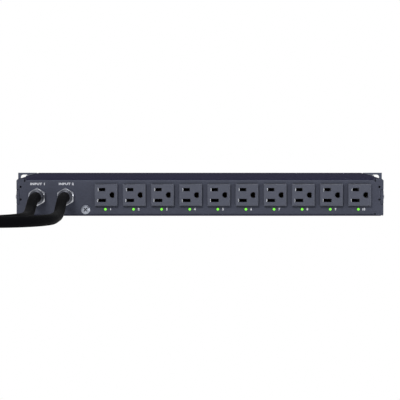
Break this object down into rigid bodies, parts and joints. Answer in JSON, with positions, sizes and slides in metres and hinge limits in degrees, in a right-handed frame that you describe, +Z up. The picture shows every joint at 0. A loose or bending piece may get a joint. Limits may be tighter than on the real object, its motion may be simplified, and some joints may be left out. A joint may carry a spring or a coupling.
{
  "type": "rack static transfer switch",
  "caption": "Flat one-unit rack box that switches its row of outlets between two supply cords, with ears for the rack and a small light under each outlet.",
  "frame": {"origin": "on the surface under the pan, in the middle of the switch's width and of its length from the glands' mouths to the ears' front faces", "axes": "+X to the right seen from the outlets, +Y towards the rack ears and the front panel, +Z up"},
  "size_m": [0.8448, 0.4565, 0.0437],
  "materials": {
    "panel_powder": "fine satin slate grey powder coat",
    "cover_powder": "fine satin dark powder coat",
    "front_powder": "fine satin dark powder coat",
    "ear_powder": "fine satin dark powder coat",
    "zinc_screw": "bright zinc plate",
    "outlet_plastic": "lightly textured grey thermoplastic",
    "contact_brass": "stamped brass",
    "outlet_light": "green lit lens",
    "board_green": "solder mask",
    "gland_nickel": "nickel plate",
    "gland_cap_nickel": "satin nickel plate",
    "seal_rubber": "black sealing ring",
    "cord_jacket": "black flexible jacket",
    "plug_plastic": "black moulded plug",
    "ground_steel": "zinc plated screw",
    "sink_aluminium": "extruded aluminium",
    "package_black": "black moulding compound",
    "relay_plastic": "blue relay case",
    "display_module": "display module",
    "window_smoke": "smoked window",
    "jack_shell": "tinned socket shell"
  },
  "bodies": {
    "root": {"base_pan": "cover_powder", "top_cover": "cover_powder", "rear_panel": "panel_powder", "front_panel": "front_powder", "rack_ear_left": "ear_powder", "rack_ear_right": "ear_powder", "ear_screws": "zinc_screw", "ear_nuts": "zinc_screw", "cover_screws": "zinc_screw", "outlet_1": "outlet_plastic", "outlet_2": "outlet_plastic", "outlet_3": "outlet_plastic", "outlet_4": "outlet_plastic", "outlet_5": "outlet_plastic", "outlet_6": "outlet_plastic", "outlet_7": "outlet_plastic", "outlet_8": "outlet_plastic", "outlet_9": "outlet_plastic", "outlet_10": "outlet_plastic", "line_contacts": "contact_brass", "neutral_bus": "contact_brass", "ground_bus": "contact_brass", "outlet_leds": "outlet_light", "led_board": "board_green", "led_board_spacers": "zinc_screw", "gland_body_a": "gland_nickel", "gland_body_b": "gland_nickel", "gland_cap_a": "gland_cap_nickel", "gland_cap_b": "gland_cap_nickel", "gland_seals": "seal_rubber", "gland_locknuts": "gland_nickel", "supply_tail_a": "cord_jacket", "supply_tail_b": "cord_jacket", "cord_a": "cord_jacket", "cord_a_coil": "cord_jacket", "plug_a": "plug_plastic", "plug_a_blades": "contact_brass", "cord_b": "cord_jacket", "cord_b_coil": "cord_jacket", "plug_b": "plug_plastic", "plug_b_blades": "contact_brass", "ground_screw": "ground_steel", "ground_nut": "zinc_screw", "main_board": "board_green", "board_standoffs": "zinc_screw", "board_screws": "zinc_screw", "heat_sink": "sink_aluminium", "thyristors": "package_black", "outlet_relays": "relay_plastic", "current_sensors": "package_black", "supply_transformers": "package_black", "capacitors": "package_black", "terminal_blocks": "package_black", "line_leads": "cord_jacket", "control_board": "board_green", "display": "display_module", "display_window": "window_smoke", "network_jack": "jack_shell", "status_leds": "outlet_light"}
  },
  "joints": []
}
